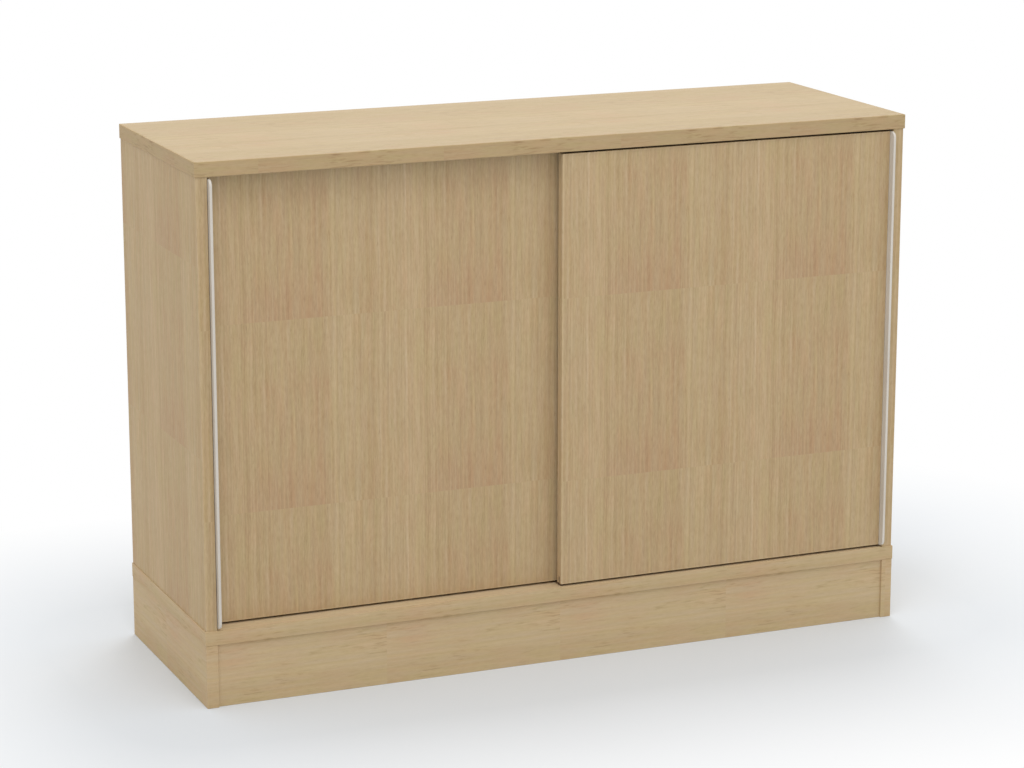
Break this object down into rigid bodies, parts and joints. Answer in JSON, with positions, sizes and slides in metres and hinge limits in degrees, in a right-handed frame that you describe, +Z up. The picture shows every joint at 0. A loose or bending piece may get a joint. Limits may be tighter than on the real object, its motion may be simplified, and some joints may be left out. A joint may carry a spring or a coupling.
{
  "type": "sliding door cabinet",
  "caption": "Low wood-look cabinet on a plinth, with two overlapping top-hung sliding doors, full-height pull strips and an adjustable shelf in each bay.",
  "frame": {"origin": "on the floor, at the middle of the whole outline (width 1200 mm; depth 407.6 mm with the pull strips)", "axes": "+X to the right seen from the front, -Y to the front, +Z up"},
  "size_m": [1.2, 0.4076, 0.85],
  "materials": {
    "oak_decor_upright": "satin melamine, light oak decor, grain upright",
    "oak_decor_level": "satin melamine, light oak decor, grain level",
    "oak_edge_band": "satin edge band, light oak decor",
    "raw_timber": "sawn, uncoated",
    "pale_lacquer": "satin pale grey lacquer on aluminium",
    "track_aluminium": "satin bronze anodised",
    "zinc_die_cast": "bright zinc die casting",
    "black_zinc": "black passivated zinc die casting",
    "plated_steel": "bright zinc plating",
    "blackened_steel": "blackened and oiled",
    "brown_nylon": "moulded, dark brown, matt",
    "white_nylon": "moulded, matt",
    "black_rubber": "matt"
  },
  "bodies": {
    "carcass": {"back_panel": "oak_decor_level", "base_edge_bands": "oak_edge_band", "base_panel": "oak_decor_level", "bottom_guide": "brown_nylon", "bottom_guide_screws": "blackened_steel", "cam_bolts": "plated_steel", "cam_housings": "zinc_die_cast", "centre_divider": "oak_decor_upright", "front_track": "track_aluminium", "left_side_panel": "oak_decor_upright", "plinth_back_board": "oak_decor_level", "plinth_centre_rail": "raw_timber", "plinth_corner_blocks": "raw_timber", "plinth_edge_bands": "oak_edge_band", "plinth_front_board": "oak_decor_level", "plinth_left_board": "oak_decor_level", "plinth_right_board": "oak_decor_level", "plinth_screws": "plated_steel", "rear_track": "track_aluminium", "right_side_panel": "oak_decor_upright", "shelf_pins": "plated_steel", "top_edge_bands": "oak_edge_band", "top_panel": "oak_decor_level", "track_end_stops": "black_rubber", "track_screws": "plated_steel", "upright_edge_bands": "oak_edge_band", "wooden_dowels": "raw_timber"},
    "left_door": {"left_door_panel": "oak_decor_upright", "left_door_edge_bands": "oak_edge_band", "left_door_pull_strip": "pale_lacquer", "left_door_pull_screws": "plated_steel", "left_door_hanger_brackets": "black_zinc", "left_door_bracket_screws": "plated_steel", "left_door_carriages": "white_nylon", "left_door_wheel_axles": "plated_steel"},
    "right_door": {"right_door_panel": "oak_decor_upright", "right_door_edge_bands": "oak_edge_band", "right_door_pull_strip": "pale_lacquer", "right_door_pull_screws": "plated_steel", "right_door_hanger_brackets": "black_zinc", "right_door_bracket_screws": "plated_steel", "right_door_carriages": "white_nylon", "right_door_wheel_axles": "plated_steel"},
    "left_shelf": {"left_shelf_panel": "oak_decor_level", "left_shelf_edge_band": "oak_edge_band"},
    "right_shelf": {"right_shelf_panel": "oak_decor_level", "right_shelf_edge_band": "oak_edge_band"},
    "left_door_left_hanging_bolt": {"left_door_left_hanging_bolt": "blackened_steel"},
    "left_door_right_hanging_bolt": {"left_door_right_hanging_bolt": "blackened_steel"},
    "left_door_wheel_pair_1": {"left_door_wheel_pair_1": "white_nylon"},
    "left_door_wheel_pair_2": {"left_door_wheel_pair_2": "white_nylon"},
    "left_door_wheel_pair_3": {"left_door_wheel_pair_3": "white_nylon"},
    "left_door_wheel_pair_4": {"left_door_wheel_pair_4": "white_nylon"},
    "right_door_left_hanging_bolt": {"right_door_left_hanging_bolt": "blackened_steel"},
    "right_door_right_hanging_bolt": {"right_door_right_hanging_bolt": "blackened_steel"},
    "right_door_wheel_pair_1": {"right_door_wheel_pair_1": "white_nylon"},
    "right_door_wheel_pair_2": {"right_door_wheel_pair_2": "white_nylon"},
    "right_door_wheel_pair_3": {"right_door_wheel_pair_3": "white_nylon"},
    "right_door_wheel_pair_4": {"right_door_wheel_pair_4": "white_nylon"}
  },
  "joints": [
    {"name": "left_door_slide", "type": "slide", "parent": "carcass", "child": "left_door", "axis": [1, 0, 0], "range_m": [0, 0.57]},
    {"name": "right_door_slide", "type": "slide", "parent": "carcass", "child": "right_door", "axis": [1, 0, 0], "range_m": [-0.57, 0]},
    {"name": "left_shelf_lift", "type": "slide", "parent": "carcass", "child": "left_shelf", "axis": [0, 0, 1], "range_m": [0, 0.3]},
    {"name": "right_shelf_lift", "type": "slide", "parent": "carcass", "child": "right_shelf", "axis": [0, 0, 1], "range_m": [0, 0.3]},
    {"name": "left_door_left_hanging_bolt_turn", "type": "hinge", "parent": "left_door", "child": "left_door_left_hanging_bolt", "pos_m": [-0.5155, -0.1599, 0.82], "axis": [0, 0, 1], "range_deg": [-720, 720]},
    {"name": "left_door_right_hanging_bolt_turn", "type": "hinge", "parent": "left_door", "child": "left_door_right_hanging_bolt", "pos_m": [-0.0558, -0.1599, 0.82], "axis": [0, 0, 1], "range_deg": [-720, 720]},
    {"name": "left_door_wheel_pair_1_roll", "type": "hinge", "parent": "left_door", "child": "left_door_wheel_pair_1", "pos_m": [-0.5265, -0.1599, 0.8323], "axis": [0, 1, 0], "continuous": true},
    {"name": "left_door_wheel_pair_2_roll", "type": "hinge", "parent": "left_door", "child": "left_door_wheel_pair_2", "pos_m": [-0.5045, -0.1599, 0.8323], "axis": [0, 1, 0], "continuous": true},
    {"name": "left_door_wheel_pair_3_roll", "type": "hinge", "parent": "left_door", "child": "left_door_wheel_pair_3", "pos_m": [-0.0668, -0.1599, 0.8323], "axis": [0, 1, 0], "continuous": true},
    {"name": "left_door_wheel_pair_4_roll", "type": "hinge", "parent": "left_door", "child": "left_door_wheel_pair_4", "pos_m": [-0.0448, -0.1599, 0.8323], "axis": [0, 1, 0], "continuous": true},
    {"name": "right_door_left_hanging_bolt_turn", "type": "hinge", "parent": "right_door", "child": "right_door_left_hanging_bolt", "pos_m": [0.0558, -0.1836, 0.82], "axis": [0, 0, 1], "range_deg": [-720, 720]},
    {"name": "right_door_right_hanging_bolt_turn", "type": "hinge", "parent": "right_door", "child": "right_door_right_hanging_bolt", "pos_m": [0.5155, -0.1836, 0.82], "axis": [0, 0, 1], "range_deg": [-720, 720]},
    {"name": "right_door_wheel_pair_1_roll", "type": "hinge", "parent": "right_door", "child": "right_door_wheel_pair_1", "pos_m": [0.0448, -0.1836, 0.8323], "axis": [0, 1, 0], "continuous": true},
    {"name": "right_door_wheel_pair_2_roll", "type": "hinge", "parent": "right_door", "child": "right_door_wheel_pair_2", "pos_m": [0.0668, -0.1836, 0.8323], "axis": [0, 1, 0], "continuous": true},
    {"name": "right_door_wheel_pair_3_roll", "type": "hinge", "parent": "right_door", "child": "right_door_wheel_pair_3", "pos_m": [0.5045, -0.1836, 0.8323], "axis": [0, 1, 0], "continuous": true},
    {"name": "right_door_wheel_pair_4_roll", "type": "hinge", "parent": "right_door", "child": "right_door_wheel_pair_4", "pos_m": [0.5265, -0.1836, 0.8323], "axis": [0, 1, 0], "continuous": true}
  ],
  "couplings": [
    {"joint": "left_door_wheel_pair_1_roll", "follows": "left_door_slide", "rad_per_m": 263.16},
    {"joint": "left_door_wheel_pair_2_roll", "follows": "left_door_slide", "rad_per_m": 263.16},
    {"joint": "left_door_wheel_pair_3_roll", "follows": "left_door_slide", "rad_per_m": 263.16},
    {"joint": "left_door_wheel_pair_4_roll", "follows": "left_door_slide", "rad_per_m": 263.16},
    {"joint": "right_door_wheel_pair_1_roll", "follows": "right_door_slide", "rad_per_m": 263.16},
    {"joint": "right_door_wheel_pair_2_roll", "follows": "right_door_slide", "rad_per_m": 263.16},
    {"joint": "right_door_wheel_pair_3_roll", "follows": "right_door_slide", "rad_per_m": 263.16},
    {"joint": "right_door_wheel_pair_4_roll", "follows": "right_door_slide", "rad_per_m": 263.16}
  ]
}
